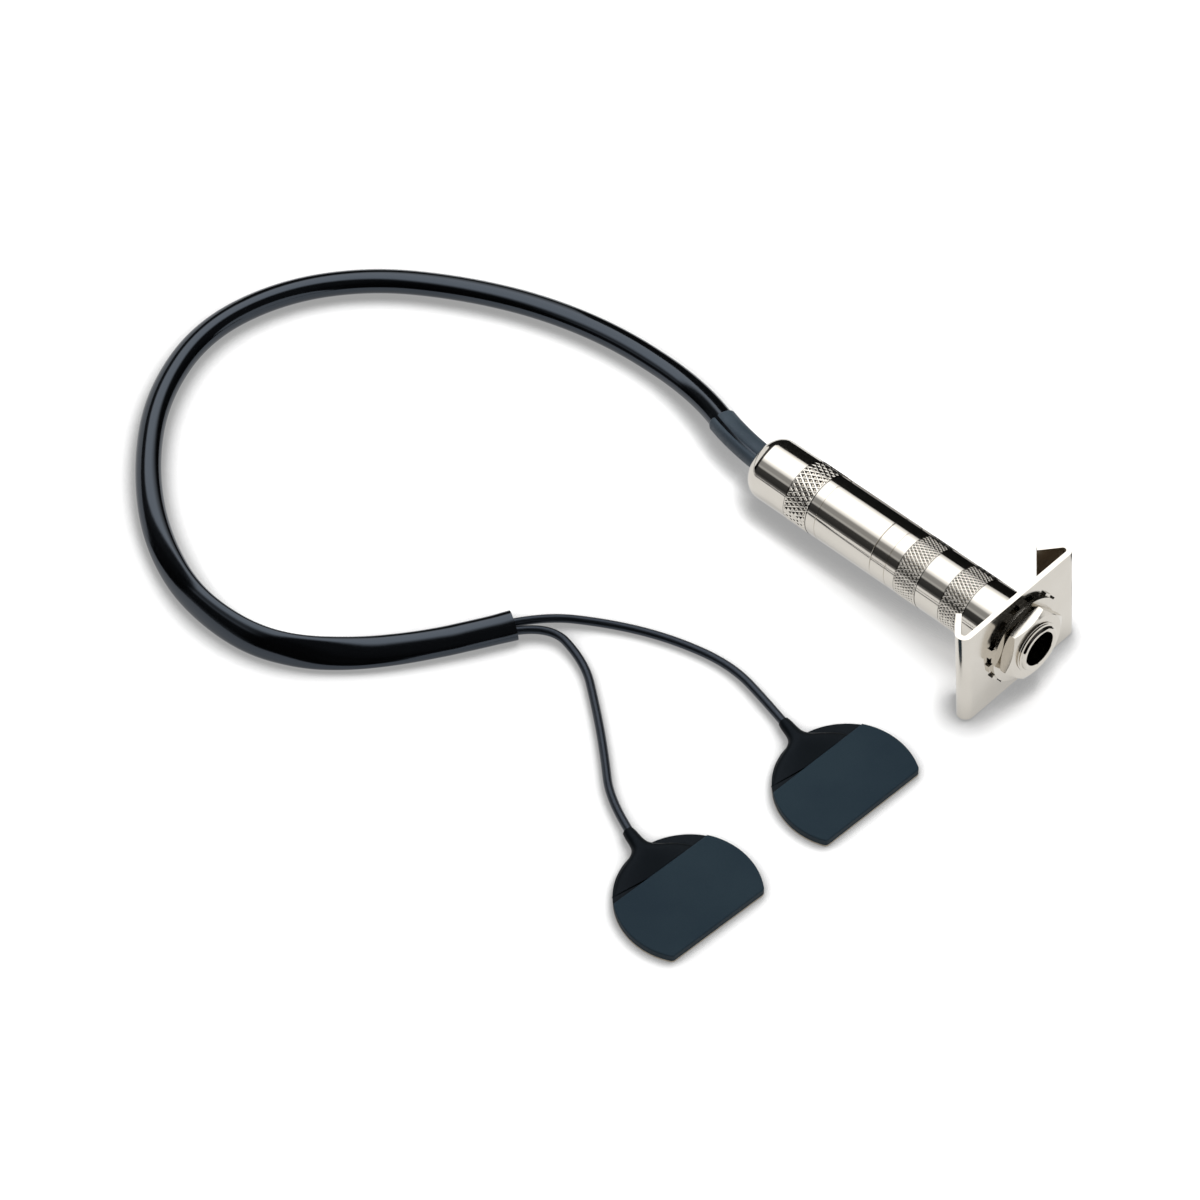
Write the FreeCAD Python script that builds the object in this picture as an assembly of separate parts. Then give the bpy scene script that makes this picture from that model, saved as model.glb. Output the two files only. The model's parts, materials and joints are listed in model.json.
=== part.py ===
import FreeCAD
import Part
import math
import os

os.makedirs("parts", exist_ok=True)

V = FreeCAD.Vector

# Piezo pickup: two flat contact pads on thin leads, a joined cable and an
# in-line barrel jack with a folded bracket. Millimetres, +Z up, lying on z = 0.
# The jack axis lies in a plane y = JACK_Y and its mouth looks towards +X.

# General clearances
FIT = 0.02            # radial clearance between two turned pieces
HOLE_PLAY = 0.12      # radial play of a washer or plate round the bushing
OVER = 1.0            # how far a cutting tool runs past the face it cuts

# Threaded bushing with the plug hole
BUSH_R = 4.76
BUSH_BORE_R = 3.3
BUSH_REAR = 8.2       # length inside the front half
BUSH_NOSE = 1.0       # how far it stands out of the nut
BUSH_CHAMFER = 0.7
LIP_WALL = 0.65       # width of the flat rim round the plug hole

# Barrel of the jack, turned brass
BARREL_WALL = 1.12    # wall of the front half round the bushing
FRONT_LEN = 28.8      # front half, from the bracket to the seam
HANDLE_LEN = 30.6     # rear half, from the seam to its end face
END_ROUND = 3.2       # rounding of the rear end
SPIGOT_LEN = 5.0      # the front half reaches this far into the rear half
SPIGOT_WALL = 0.52
CHAMBER_WALL = 1.0    # wall of the rear half behind the spigot
END_WALL = 4.0        # length of the wall round the cable hole
CABLE_PLAY = 0.15     # between the cable hole and the strain relief
EDGE = 0.25           # broken edges of the turned pieces
KNURL_RISE = 0.1      # a knurled band stands this far proud
KNURL_REAR = (15.2, 20.3)     # distances from the seam to the band's two ends
KNURL_MIDDLE = (5.7, 10.5)    # distances from the seam, on the front half
KNURL_FRONT = (16.0, 20.9)
GROOVE_REAR = 13.0    # distance of a fine turned groove from the seam
GROOVE_FRONT = 3.4
GROOVE_W = 0.35
GROOVE_D = 0.2

# Bracket, folded sheet
PLATE_T = 1.0
PLATE_FLAT = 24.8     # flat width between the two bends
PLATE_H = 20.8
BEND_R = 0.6          # inner bend radius
BEND_DEG = 140.0      # each side is bent this far
LIP_LEN = 4.3         # straight length after the bend

# Washers and nut
LOCK_T = 0.5
LOCK_RING_R = 7.0
LOCK_TOOTH_R = 8.7
LOCK_TEETH = 15
LOCK_TOOTH_W = 1.7
WASHER_T = 0.6
WASHER_R = 8.2
NUT_AF = 12.7         # across the flats
NUT_T = 2.3
NUT_TURN = 10.0       # how far one flat is turned from straight up
NUT_CHAMFER_DEG = 30.0

# Contacts and insulator in the jack
CORE_OUT = 2.7        # the insulator reaches this far behind the seam
CORE_WEB = 4.7        # solid end of the insulator
CORE_BORE_PLAY = 0.3  # the insulator's hole is this much wider than the plug hole
SPRING_T = 0.3
SPRING_W = 2.2
SPRING_LEDGE = 0.15   # the spring's seat is this far outside the insulator's hole
SPRING_TAIL = 3.5     # solder tail behind the insulator
SPRING_REACH = 5.8    # free length in front of the solid end
SPRING_DIP = 1.3      # how far the contact point dips towards the axis
SLOT_PLAY = 0.1
LUG_T = 0.3
LUG_W = 2.0
LUG_DEPTH = 0.51      # the lug tail's seat is this deep in the insulator
LUG_PLAY = 0.1
WIRE_R = 0.4
WIRE_STRAIGHT = 4.5   # straight length of each wire at its two ends

# Cable: a flat sleeve that holds two leads
SLEEVE_W = 4.6
SLEEVE_H = 3.1
MOUTH_DEPTH = 4.0     # open end of the sleeve
MOUTH_W = 3.7
MOUTH_H = 2.1
LEAD_R = 0.775
LEAD_GAP = 0.15       # between the two leads in the sleeve's mouth
LEAD_FORK = (8.75, 9.75)      # the right and the left lead turn off this far out
LEAD_APPROACH = (9.0, 9.4)    # and turn into the pad this far from its rim
CORE_R = 0.25         # copper core of a lead
SLEEVE_IN = 7.4       # length of sleeve inside the rear end face
RELIEF_IN = 5.2       # length of the shrunk strain relief inside the end face
RELIEF_OUT = 14.0     # and its length outside
RELIEF_WALL = 0.55
RELIEF_LOBE = 0.6     # half the distance between its two ridges

# Contact pads
PAD_R = 12.65
BASE_T = 0.35
COVER_T = 1.4
BOOT_LEN = 5.65       # from the rim to the cover's straight rear edge
BOOT_STEP_T = 0.95    # boot height above the base at the cover
BOOT_RIM_T = 0.55     # boot height above the base at the rim
CORNER_R = 0.9        # corners at the cut-off side
COVER_EDGE = 0.25
BRASS_RIM = 1.4       # the metal disc ends this far inside the cover's rear edge
BRASS_T = 0.2
CERAMIC_RIM = 1.4     # and the ceramic this far inside the metal disc
CERAMIC_T = 0.25
POCKET_PLAY = 0.1
LEAD_Z = BASE_T + LEAD_R + FIT   # height of the lead where it enters the boot
LEAD_TURN = 9.5       # the lead meets the pad at this angle
COLLAR_LEN = 4.0      # collar outside the pad's rim
COLLAR_WALL = 0.22
LEAD_IN = 2.0         # lead length inside the pad's rim
LEAD_REST = 0.6       # the bare core lies this far over the ceramic disc's edge
PADS = {
    "right": {"at": (23.4, -2.1), "turn": -2.5, "chord": 6.4},
    "left": {"at": (20.4, -37.3), "turn": -3.9, "chord": 7.5},
}

# Place of the jack: its length is centred on x = 0
JACK_Y = 36.0

# Derived radii
LIP_R = BUSH_BORE_R + LIP_WALL
BODY_BORE_R = BUSH_R + FIT
BARREL_R = BODY_BORE_R + BARREL_WALL
SPIGOT_R = BODY_BORE_R + SPIGOT_WALL
CHAMBER_R = BARREL_R - CHAMBER_WALL
CORE_R_OUT = BODY_BORE_R - FIT
CORE_BORE_R = BUSH_BORE_R + CORE_BORE_PLAY
SPRING_SEAT = CORE_BORE_R + SPRING_LEDGE
LUG_SEAT = CORE_R_OUT - LUG_DEPTH
LOBE_R = max(SLEEVE_H / 2.0 + RELIEF_WALL, SLEEVE_W / 2.0 + RELIEF_WALL / 2.0 - RELIEF_LOBE)
CABLE_HOLE_R = RELIEF_LOBE + LOBE_R + CABLE_PLAY
STEP_X = PAD_R - BOOT_LEN
BRASS_R = STEP_X - BRASS_RIM
CERAMIC_R = BRASS_R - CERAMIC_RIM

# Derived sizes along the jack axis, zero at the bracket's front face, +X forward
FRONT_END = -PLATE_T
SEAM = FRONT_END - FRONT_LEN
REAR = SEAM - HANDLE_LEN
WASHER_A = LOCK_T
NUT_A = WASHER_A + WASHER_T
NUT_END = NUT_A + NUT_T
MOUTH_A = NUT_END + BUSH_NOSE
BUSH_END = FRONT_END - BUSH_REAR
CORE_FRONT = BUSH_END - LUG_T
CORE_END = SEAM - CORE_OUT
WEB_A = CORE_END + CORE_WEB
OUT_R = PLATE_T + BEND_R
HALF_FLAT = PLATE_FLAT / 2.0
HALF_H = PLATE_H / 2.0
BEND = math.radians(BEND_DEG)

# The jack rests on the lower edge of the bracket's lips and on its rounded end
LIP_BACK = -OUT_R + OUT_R * math.cos(BEND) - LIP_LEN * math.sin(BEND)
ARC_A = REAR + END_ROUND
REACH = LIP_BACK - ARC_A
RISE = HALF_H - (BARREL_R - END_ROUND)
SPAN = math.hypot(REACH, RISE)
TILT = math.atan2(RISE, REACH) - math.asin(END_ROUND / SPAN)
JACK_Z = HALF_H * math.cos(TILT) - LIP_BACK * math.sin(TILT)
JACK_X = -(MOUTH_A + REAR) / 2.0 * math.cos(TILT)


def jack_place():
    """Placement that carries the jack's own axes into the part's frame."""
    turn = FreeCAD.Rotation(V(0, 1, 0), -math.degrees(TILT))
    return FreeCAD.Placement(V(JACK_X, JACK_Y, JACK_Z), turn)


def on_axis(a, y=0.0, z=0.0):
    """A point given along the jack axis, in the part's frame."""
    return jack_place().multVec(V(a, y, z))


def turned(points):
    """Solid of revolution about the jack axis from (a, r) corners."""
    wire = Part.makePolygon([V(a, 0, r) for a, r in points + points[:1]])
    return Part.Face(wire).revolve(V(0, 0, 0), V(1, 0, 0), 360)


def rod(a0, a1, r):
    """Cylinder along the jack axis between two positions."""
    return Part.makeCylinder(r, a1 - a0, V(a0, 0, 0), V(1, 0, 0))


def block(x0, x1, y0, y1, z0, z1):
    """Box between two corners."""
    return Part.makeBox(x1 - x0, y1 - y0, z1 - z0, V(x0, y0, z0))


def write(name, shape, place=None):
    """Move a finished piece to its place and write its file."""
    solid = shape.copy()
    if place is not None:
        solid.Placement = place.multiply(solid.Placement)
    if solid.ShapeType == "Compound" and len(solid.Solids) == 1:
        solid = solid.Solids[0]
    solid.exportStep(os.path.join("parts", name + ".step"))
    return solid


def rounded_route(points, label):
    """Straight runs joined by tangent arcs, as a wire, with its length."""
    ends = [V(*p) for p in points]
    edges = []
    radii = []
    here = ends[0]
    length = 0.0
    for before, corner, after in zip(ends, ends[1:], ends[2:]):
        d0 = (corner - before).normalize()
        d1 = (after - corner).normalize()
        half = d0.getAngle(d1) / 2.0
        cut = 0.45 * min((corner - before).Length, (after - corner).Length)
        radius = cut / math.tan(half)
        start = corner - d0 * cut
        stop = corner + d1 * cut
        inward = (d1 - d0).normalize()
        middle = corner + inward * (radius / math.cos(half) - radius)
        edges.append(Part.LineSegment(here, start).toShape())
        edges.append(Part.Arc(start, middle, stop).toShape())
        length += (start - here).Length + 2.0 * half * radius
        radii.append(round(radius, 1))
        here = stop
    edges.append(Part.LineSegment(here, ends[-1]).toShape())
    length += (ends[-1] - here).Length
    print(label, "radii", radii, "length", round(length, 1))
    return Part.Wire(edges), length


def across(start, ahead):
    """Two directions across a route at its start: level, and upwards."""
    along = (V(*ahead) - V(*start)).normalize()
    level = V(0, 0, 1).cross(along).normalize()
    return along, level, along.cross(level)


def oval(start, ahead, width, height):
    """Ellipse across a route at its start, with its width level."""
    along, level, up = across(start, ahead)
    centre = V(*start)
    ring = Part.Ellipse(centre + level * (width / 2.0), centre + up * (height / 2.0), centre)
    return Part.Wire([ring.toShape()])


def sweep(route, section):
    """Solid of one section carried along a route with its width kept level."""
    maker = Part.BRepOffsetAPI.MakePipeShell(route)
    maker.setBiNormalMode(V(0, 0, 1))
    maker.add(section)
    maker.build()
    maker.makeSolid()
    return maker.shape()


def tube(points, radius, label):
    """Round cord along a route of points."""
    route, length = rounded_route(points, label)
    along = (V(*points[1]) - V(*points[0])).normalize()
    ring = Part.Wire([Part.makeCircle(radius, V(*points[0]), along)])
    solid = route.makePipeShell([ring], True, False)
    print(label, "volume over section times length",
          round(solid.Volume / (math.pi * radius ** 2 * length), 4))
    return solid


# Front half of the barrel, with its spigot, two knurled bands and one groove
def band(seam_distance, sign):
    """Raised ring where the knurl is, measured from the seam."""
    a0 = SEAM + sign * seam_distance[0]
    a1 = SEAM + sign * seam_distance[1]
    low, high = min(a0, a1), max(a0, a1)
    r = BARREL_R + KNURL_RISE
    return turned([(low, BARREL_R - EDGE), (low, BARREL_R), (low + KNURL_RISE, r),
                   (high - KNURL_RISE, r), (high, BARREL_R), (high, BARREL_R - EDGE)])


def groove(a):
    """Fine turned groove round the barrel."""
    w = GROOVE_W / 2.0
    return turned([(a - w, BARREL_R + OVER), (a - w, BARREL_R - GROOVE_D / 2.0),
                   (a, BARREL_R - GROOVE_D), (a + w, BARREL_R - GROOVE_D / 2.0),
                   (a + w, BARREL_R + OVER)])


front = turned([(FRONT_END, BODY_BORE_R), (FRONT_END, BARREL_R - EDGE),
                (FRONT_END - EDGE, BARREL_R), (SEAM + EDGE / 2.0, BARREL_R),
                (SEAM, BARREL_R - EDGE / 2.0), (SEAM, SPIGOT_R),
                (SEAM - SPIGOT_LEN, SPIGOT_R), (SEAM - SPIGOT_LEN, BODY_BORE_R)])
front = front.fuse(band(KNURL_MIDDLE, 1)).fuse(band(KNURL_FRONT, 1))
front = front.cut(groove(SEAM + GROOVE_FRONT)).removeSplitter()

# Rear half of the barrel, the handle that the cable leaves
handle = turned([(SEAM, SPIGOT_R + FIT), (SEAM, BARREL_R - EDGE / 2.0),
                 (SEAM - EDGE / 2.0, BARREL_R), (REAR, BARREL_R), (REAR, CABLE_HOLE_R),
                 (REAR + END_WALL, CABLE_HOLE_R), (REAR + END_WALL, CHAMBER_R),
                 (SEAM - SPIGOT_LEN, CHAMBER_R), (SEAM - SPIGOT_LEN, SPIGOT_R + FIT)])
rim = [e for e in handle.Edges if abs(e.CenterOfMass.x - REAR) < 1e-4
       and isinstance(e.Curve, Part.Circle) and abs(e.Curve.Radius - BARREL_R) < 1e-4]
handle = handle.makeFillet(min(END_ROUND, BARREL_R - CABLE_HOLE_R - 0.05), rim)
handle = handle.fuse(band(KNURL_REAR, -1))
handle = handle.cut(groove(SEAM - GROOVE_REAR)).removeSplitter()

# Threaded bushing: its front is the plug's hole
bush = turned([(BUSH_END, BUSH_BORE_R), (BUSH_END, BUSH_R), (MOUTH_A - BUSH_CHAMFER, BUSH_R),
               (MOUTH_A, LIP_R), (MOUTH_A, BUSH_BORE_R + EDGE), (MOUTH_A - EDGE, BUSH_BORE_R)])

# Insulator with a blind hole for the plug and a slot for the contact spring
half_slot = SPRING_W / 2.0 + SLOT_PLAY
half_lug = LUG_W / 2.0 + LUG_PLAY
core = turned([(CORE_END, 0), (CORE_END, CORE_R_OUT), (CORE_FRONT, CORE_R_OUT),
               (CORE_FRONT, CORE_BORE_R), (WEB_A, CORE_BORE_R), (WEB_A, 0)])
core = core.cut(block(WEB_A, WEB_A + SPRING_REACH + SLOT_PLAY, -half_slot, half_slot,
                      0, CORE_R_OUT + OVER))
core = core.cut(block(CORE_END - OVER, WEB_A, -half_slot, half_slot,
                      SPRING_SEAT, CORE_R_OUT + OVER))
core = core.cut(block(CORE_END - OVER, CORE_FRONT + OVER, -half_lug, half_lug,
                      -CORE_R_OUT - OVER, -LUG_SEAT))

# Contact spring for the plug's tip: a bent strip on the insulator
tail_a = CORE_END - SPRING_TAIL
line = [(tail_a, SPRING_SEAT), (WEB_A, SPRING_SEAT),
        (WEB_A + 0.45 * SPRING_REACH, SPRING_SEAT - 0.25 * SPRING_DIP),
        (WEB_A + 0.65 * SPRING_REACH, SPRING_SEAT - SPRING_DIP),
        (WEB_A + SPRING_REACH, SPRING_SEAT - 0.1 * SPRING_DIP)]
outline = line + [(a, z + SPRING_T) for a, z in reversed(line)]
wire = Part.makePolygon([V(a, -SPRING_W / 2.0, z) for a, z in outline + outline[:1]])
spring = Part.Face(wire).extrude(V(0, SPRING_W, 0))

# Ground lug: a ring on the bushing's end and a tail along the insulator
lug = rod(CORE_FRONT, BUSH_END, CORE_R_OUT).cut(rod(CORE_FRONT - OVER, BUSH_END + OVER, CORE_BORE_R))
lug = lug.fuse(block(tail_a, CORE_FRONT, -LUG_W / 2.0, LUG_W / 2.0,
                     -LUG_SEAT - LUG_T, -LUG_SEAT)).removeSplitter()


# Bracket: flat plate whose two sides are bent back and inwards
def bracket_side(side):
    """Corners of one bend and lip, outside first, as wire edges."""
    centre = V(-OUT_R, side * HALF_FLAT, 0)

    def on_bend(radius, angle):
        return centre + V(radius * math.cos(angle), side * radius * math.sin(angle), 0)

    ahead = V(-math.sin(BEND), side * math.cos(BEND), 0) * LIP_LEN
    outer = [on_bend(OUT_R, 0), on_bend(OUT_R, BEND / 2.0), on_bend(OUT_R, BEND)]
    inner = [on_bend(BEND_R, 0), on_bend(BEND_R, BEND / 2.0), on_bend(BEND_R, BEND)]
    return outer, outer[2] + ahead, inner[2] + ahead, inner


parts_right = bracket_side(1)
parts_left = bracket_side(-1)
edges = []
for outer, lip_out, lip_in, inner in (parts_right, parts_left):
    edges.append(Part.Arc(*outer).toShape())
    edges.append(Part.LineSegment(outer[2], lip_out).toShape())
    edges.append(Part.LineSegment(lip_out, lip_in).toShape())
    edges.append(Part.LineSegment(lip_in, inner[2]).toShape())
    edges.append(Part.Arc(*inner).toShape())
edges.append(Part.LineSegment(parts_right[0][0], parts_left[0][0]).toShape())
edges.append(Part.LineSegment(parts_right[3][0], parts_left[3][0]).toShape())
profile = Part.Face(Part.Wire(Part.__sortEdges__(edges)))
profile.translate(V(0, 0, -HALF_H))
bracket = profile.extrude(V(0, 0, PLATE_H))
bracket = bracket.cut(rod(FRONT_END - OVER, OVER, BUSH_R + HOLE_PLAY))

# Toothed lock washer, flat washer and hexagon nut
lock = rod(0, LOCK_T, LOCK_RING_R)
tooth = block(0, LOCK_T, -LOCK_TOOTH_W / 2.0, LOCK_TOOTH_W / 2.0, LOCK_RING_R - 1.0, LOCK_TOOTH_R)
for i in range(LOCK_TEETH):
    copy = tooth.copy()
    copy.rotate(V(0, 0, 0), V(1, 0, 0), 360.0 * i / LOCK_TEETH)
    lock = lock.fuse(copy)
lock = lock.cut(rod(-OVER, LOCK_T + OVER, BUSH_R + HOLE_PLAY)).removeSplitter()

washer = rod(WASHER_A, NUT_A, WASHER_R)
washer = washer.cut(rod(WASHER_A - OVER, NUT_A + OVER, BUSH_R + HOLE_PLAY))

corner_r = NUT_AF / 2.0 / math.cos(math.radians(30))
corners = []
for i in range(7):
    angle = math.radians(60.0 * i + NUT_TURN)
    corners.append(V(NUT_A, corner_r * math.cos(angle), corner_r * math.sin(angle)))
nut = Part.Face(Part.makePolygon(corners)).extrude(V(NUT_T, 0, 0))
face_r = NUT_AF / 2.0 - 0.1
drop = (corner_r + OVER - face_r) * math.tan(math.radians(NUT_CHAMFER_DEG))
nut = nut.common(turned([(NUT_A, 0), (NUT_A, face_r), (NUT_A + drop, corner_r + OVER),
                         (NUT_END - drop, corner_r + OVER), (NUT_END, face_r), (NUT_END, 0)]))
nut = nut.cut(rod(NUT_A - OVER, NUT_END + OVER, BUSH_R + FIT))

# Cable route, chosen by hand along the loop. The first two points lie on the
# jack axis, the others lie on the surface that the part rests on.
inside = on_axis(REAR + SLEEVE_IN)
leaving = on_axis(REAR - 4.7)
SLEEVE_ROUTE = [
    tuple(inside), tuple(leaving),
    (-54.1, 41.9, 2.6), (-70.7, 41.4, 1.6), (-86.8, 37.2, 1.6), (-101.5, 29.7, 1.6),
    (-114.8, 19.6, 1.7), (-124.1, 5.8, 1.9), (-127.3, -10.8, 2.2), (-121.8, -26.9, 2.3),
    (-110.8, -39.3, 2.2), (-97.3, -49.0, 2.0), (-81.4, -54.3, 1.8), (-64.6, -51.5, 1.7),
    (-52.7, -39.4, 1.7), (-43.8, -25.6, 1.7), (-40.0, -18.2, 1.7),
]
route, sleeve_len = rounded_route(SLEEVE_ROUTE, "sleeve")
sleeve = sweep(route, oval(SLEEVE_ROUTE[0], SLEEVE_ROUTE[1], SLEEVE_W, SLEEVE_H))
print("sleeve volume over section times length", round(
    sleeve.Volume / (math.pi * SLEEVE_W * SLEEVE_H / 4.0 * sleeve_len), 4))
mouth = SLEEVE_ROUTE[-1]
along, level, up = across(SLEEVE_ROUTE[-2], mouth)
floor = V(*mouth) - along * MOUTH_DEPTH
pocket = Part.Face(oval(tuple(floor), tuple(V(*mouth)), MOUTH_W, MOUTH_H))
sleeve = sleeve.cut(pocket.extrude(along * (MOUTH_DEPTH + OVER)))

# Shrunk strain relief: a short two-ridged tube round the sleeve
relief_start = on_axis(REAR + RELIEF_IN)
relief_turn = SLEEVE_ROUTE[1]
heading = (V(*SLEEVE_ROUTE[2]) - V(*relief_turn)).normalize()
run_out = RELIEF_OUT - (V(*relief_turn) - on_axis(REAR)).Length
relief_end = V(*relief_turn) + heading * run_out
span_in = (V(*relief_turn) - V(*SLEEVE_ROUTE[0])).Length
back = (V(*SLEEVE_ROUTE[0]) - V(*relief_turn)).normalize()
bend_cut = 0.45 * span_in
bend_half = back.getAngle(heading * -1) / 2.0
bend_r = bend_cut / math.tan(bend_half)
arc_in = V(*relief_turn) + back * bend_cut
arc_mid = V(*relief_turn) + (heading + back).normalize() * (bend_r / math.cos(bend_half) - bend_r)
arc_out = V(*relief_turn) + heading * bend_cut
relief_route = Part.Wire([Part.LineSegment(relief_start, arc_in).toShape(),
                          Part.Arc(arc_in, arc_mid, arc_out).toShape(),
                          Part.LineSegment(arc_out, relief_end).toShape()])
along0, level0, up0 = across(tuple(relief_start), tuple(arc_in))
lobe_up = math.sqrt(LOBE_R ** 2 - RELIEF_LOBE ** 2)


def lobe_point(side, high):
    """Point of the two-ridged outline, by its side and height."""
    return relief_start + level0 * side + up0 * high


lobes = Part.Wire([
    Part.Arc(lobe_point(0, lobe_up), lobe_point(RELIEF_LOBE + LOBE_R, 0),
             lobe_point(0, -lobe_up)).toShape(),
    Part.Arc(lobe_point(0, -lobe_up), lobe_point(-RELIEF_LOBE - LOBE_R, 0),
             lobe_point(0, lobe_up)).toShape()])
relief = sweep(relief_route, lobes)
relief = relief.cut(sweep(route, oval(SLEEVE_ROUTE[0], SLEEVE_ROUTE[1], SLEEVE_W, SLEEVE_H)))
relief = max(relief.Solids, key=lambda s: s.Volume)

# Two wires from the sleeve's inner end to the solder tails
wire_side = LEAD_R + LEAD_GAP / 2.0
sleeve_a = REAR + SLEEVE_IN


def inner_wire(height, offset, label):
    """Wire from a solder tail at a height to one side of the sleeve's end."""
    points = [on_axis(tail_a, 0, height), on_axis(tail_a - WIRE_STRAIGHT, 0, height),
              on_axis(sleeve_a + WIRE_STRAIGHT, offset, 0), on_axis(sleeve_a, offset, 0)]
    return tube([tuple(p) for p in points], WIRE_R, label)


signal_wire = inner_wire(SPRING_SEAT + SPRING_T / 2.0, wire_side, "signal wire")
ground_wire = inner_wire(-LUG_SEAT - LUG_T / 2.0, -wire_side, "ground wire")


# Contact pads, built about the middle of the disc with the lead towards -X
def pad_place(pad):
    """Placement of one pad in the part's frame."""
    return FreeCAD.Placement(V(pad["at"][0], pad["at"][1], 0),
                             FreeCAD.Rotation(V(0, 0, 1), pad["turn"]))


lead_dir = V(-math.cos(math.radians(LEAD_TURN)), math.sin(math.radians(LEAD_TURN)), 0)


def on_lead(distance, z=None):
    """Point on the lead's line, measured outwards from the pad's rim."""
    rim_point = V(-PAD_R, 0.6, LEAD_Z if z is None else z)
    return rim_point + lead_dir * distance


def core_ends():
    """Both ends of a lead's bare core: in the boot, and over the ceramic disc."""
    rest = BASE_T + BRASS_T + CERAMIC_T + CORE_R
    return on_lead(-LEAD_IN), V(-CERAMIC_R + LEAD_REST, 0, rest)


def disc(radius, z0, z1):
    """Flat round plate."""
    return Part.makeCylinder(radius, z1 - z0, V(0, 0, z0), V(0, 0, 1))


def pad_outline(pad, z0, z1):
    """Disc with its far side cut off straight and the corners rounded."""
    solid = disc(PAD_R, z0, z1).cut(block(pad["chord"], PAD_R + OVER, -PAD_R - OVER, PAD_R + OVER,
                                          z0 - OVER, z1 + OVER))
    uprights = [e for e in solid.Edges if isinstance(e.Curve, Part.Line)
                and abs(e.tangentAt(e.FirstParameter).z) > 0.9
                and abs(e.CenterOfMass.x - pad["chord"]) < 1e-4]
    return solid.makeFillet(CORNER_R, uprights)


def make_base(pad):
    """Thin pale contact layer under the whole pad."""
    return pad_outline(pad, 0, BASE_T)


def make_cover(pad):
    """Flat cover over the sensing disc, hollow below."""
    top = BASE_T + COVER_T
    solid = pad_outline(pad, BASE_T, top)
    solid = solid.cut(block(-PAD_R - OVER, -STEP_X, -PAD_R - OVER, PAD_R + OVER, 0, top + OVER))
    crest = [e for e in solid.Edges if abs(e.BoundBox.ZMin - top) < 1e-4]
    solid = solid.makeFillet(COVER_EDGE, crest)
    deep = BASE_T + BRASS_T + CERAMIC_T + POCKET_PLAY
    solid = solid.cut(disc(BRASS_R + POCKET_PLAY, BASE_T - OVER, BASE_T + BRASS_T + POCKET_PLAY))
    solid = solid.cut(disc(CERAMIC_R + POCKET_PLAY, BASE_T, deep))
    way = CORE_R + POCKET_PLAY
    channel_end = -CERAMIC_R + LEAD_REST + POCKET_PLAY
    return solid.cut(block(-STEP_X - OVER, channel_end, -2 * way, 2 * way, BASE_T, LEAD_Z + way))


def make_boot(pad):
    """Moulded boot between the cover and the lead, with a flared collar."""
    low = BASE_T
    slab = disc(PAD_R, low, low + BOOT_STEP_T)
    slab = slab.cut(block(-STEP_X, PAD_R + OVER, -PAD_R - OVER, PAD_R + OVER, 0, LEAD_Z + PAD_R))
    fall = Part.makePolygon([V(-STEP_X, -PAD_R - OVER, low + BOOT_STEP_T),
                             V(-PAD_R - OVER, -PAD_R - OVER, low + BOOT_RIM_T),
                             V(-PAD_R - OVER, -PAD_R - OVER, low + PAD_R),
                             V(-STEP_X, -PAD_R - OVER, low + PAD_R),
                             V(-STEP_X, -PAD_R - OVER, low + BOOT_STEP_T)])
    slab = slab.cut(Part.Face(fall).extrude(V(0, 2 * (PAD_R + OVER), 0)))
    rings = []
    wide = LEAD_R + COLLAR_WALL
    for distance, half_w, half_h in ((-1.07 * BOOT_LEN, 9.6 * wide, 0.42 * wide),
                                     (-0.62 * BOOT_LEN, 7.0 * wide, 0.80 * wide),
                                     (-0.22 * BOOT_LEN, 3.6 * wide, 1.08 * wide),
                                     (0.04 * BOOT_LEN, 1.7 * wide, 1.14 * wide),
                                     (0.35 * COLLAR_LEN, 1.32 * wide, 1.15 * wide),
                                     (0.7 * COLLAR_LEN, 1.2 * wide, 1.1 * wide),
                                     (COLLAR_LEN, wide, 0.99 * wide)):
        start = on_lead(distance)
        rings.append(oval(tuple(start), tuple(start + lead_dir), 2 * half_w, 2 * half_h))
    flare = Part.makeLoft(rings, True, False)
    flare = flare.cut(block(-STEP_X, PAD_R, -PAD_R, PAD_R, -PAD_R, PAD_R))
    flare = flare.cut(disc(PAD_R, -PAD_R, low))
    flare = flare.cut(block(-2 * PAD_R, 0, -PAD_R, PAD_R, -PAD_R, 0.02))
    solid = slab.fuse(flare)
    hole = Part.makeCylinder(LEAD_R, PAD_R, on_lead(-LEAD_IN), lead_dir)
    solid = solid.cut(hole)
    begin, stop = core_ends()
    solid = solid.cut(Part.makeCylinder(CORE_R + FIT, (stop - begin).Length, begin, stop - begin))
    return max(solid.Solids, key=lambda s: s.Volume)


def make_lead(name, offset, fork, free_route, approach, pad):
    """Lead from the sleeve's mouth to the pad, with its bare core in the pad."""
    place = pad_place(pad)
    start = floor + level * offset
    end, stop = [place.multVec(point) for point in core_ends()]
    points = [tuple(start), tuple(start + along * fork)] + free_route
    points += [tuple(place.multVec(on_lead(approach))), tuple(end)]
    cord = tube(points, LEAD_R, name)
    stub = Part.makeCylinder(CORE_R, (stop - end).Length, end, stop - end)
    return cord.fuse(stub)


side = LEAD_R + LEAD_GAP / 2.0
RIGHT_ROUTE = [(-28.9, -5.6, 0.85), (-18.9, -0.5, 0.85), (-7.9, 2.5, 0.85)]
LEFT_ROUTE = [(-26.2, -14.7, 0.85), (-18.6, -19.9, 0.85), (-11.3, -25.3, 0.85)]
lead_right = make_lead("lead right", side, LEAD_FORK[0], RIGHT_ROUTE, LEAD_APPROACH[0],
                       PADS["right"])
lead_left = make_lead("lead left", -side, LEAD_FORK[1], LEFT_ROUTE, LEAD_APPROACH[1],
                      PADS["left"])

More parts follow.
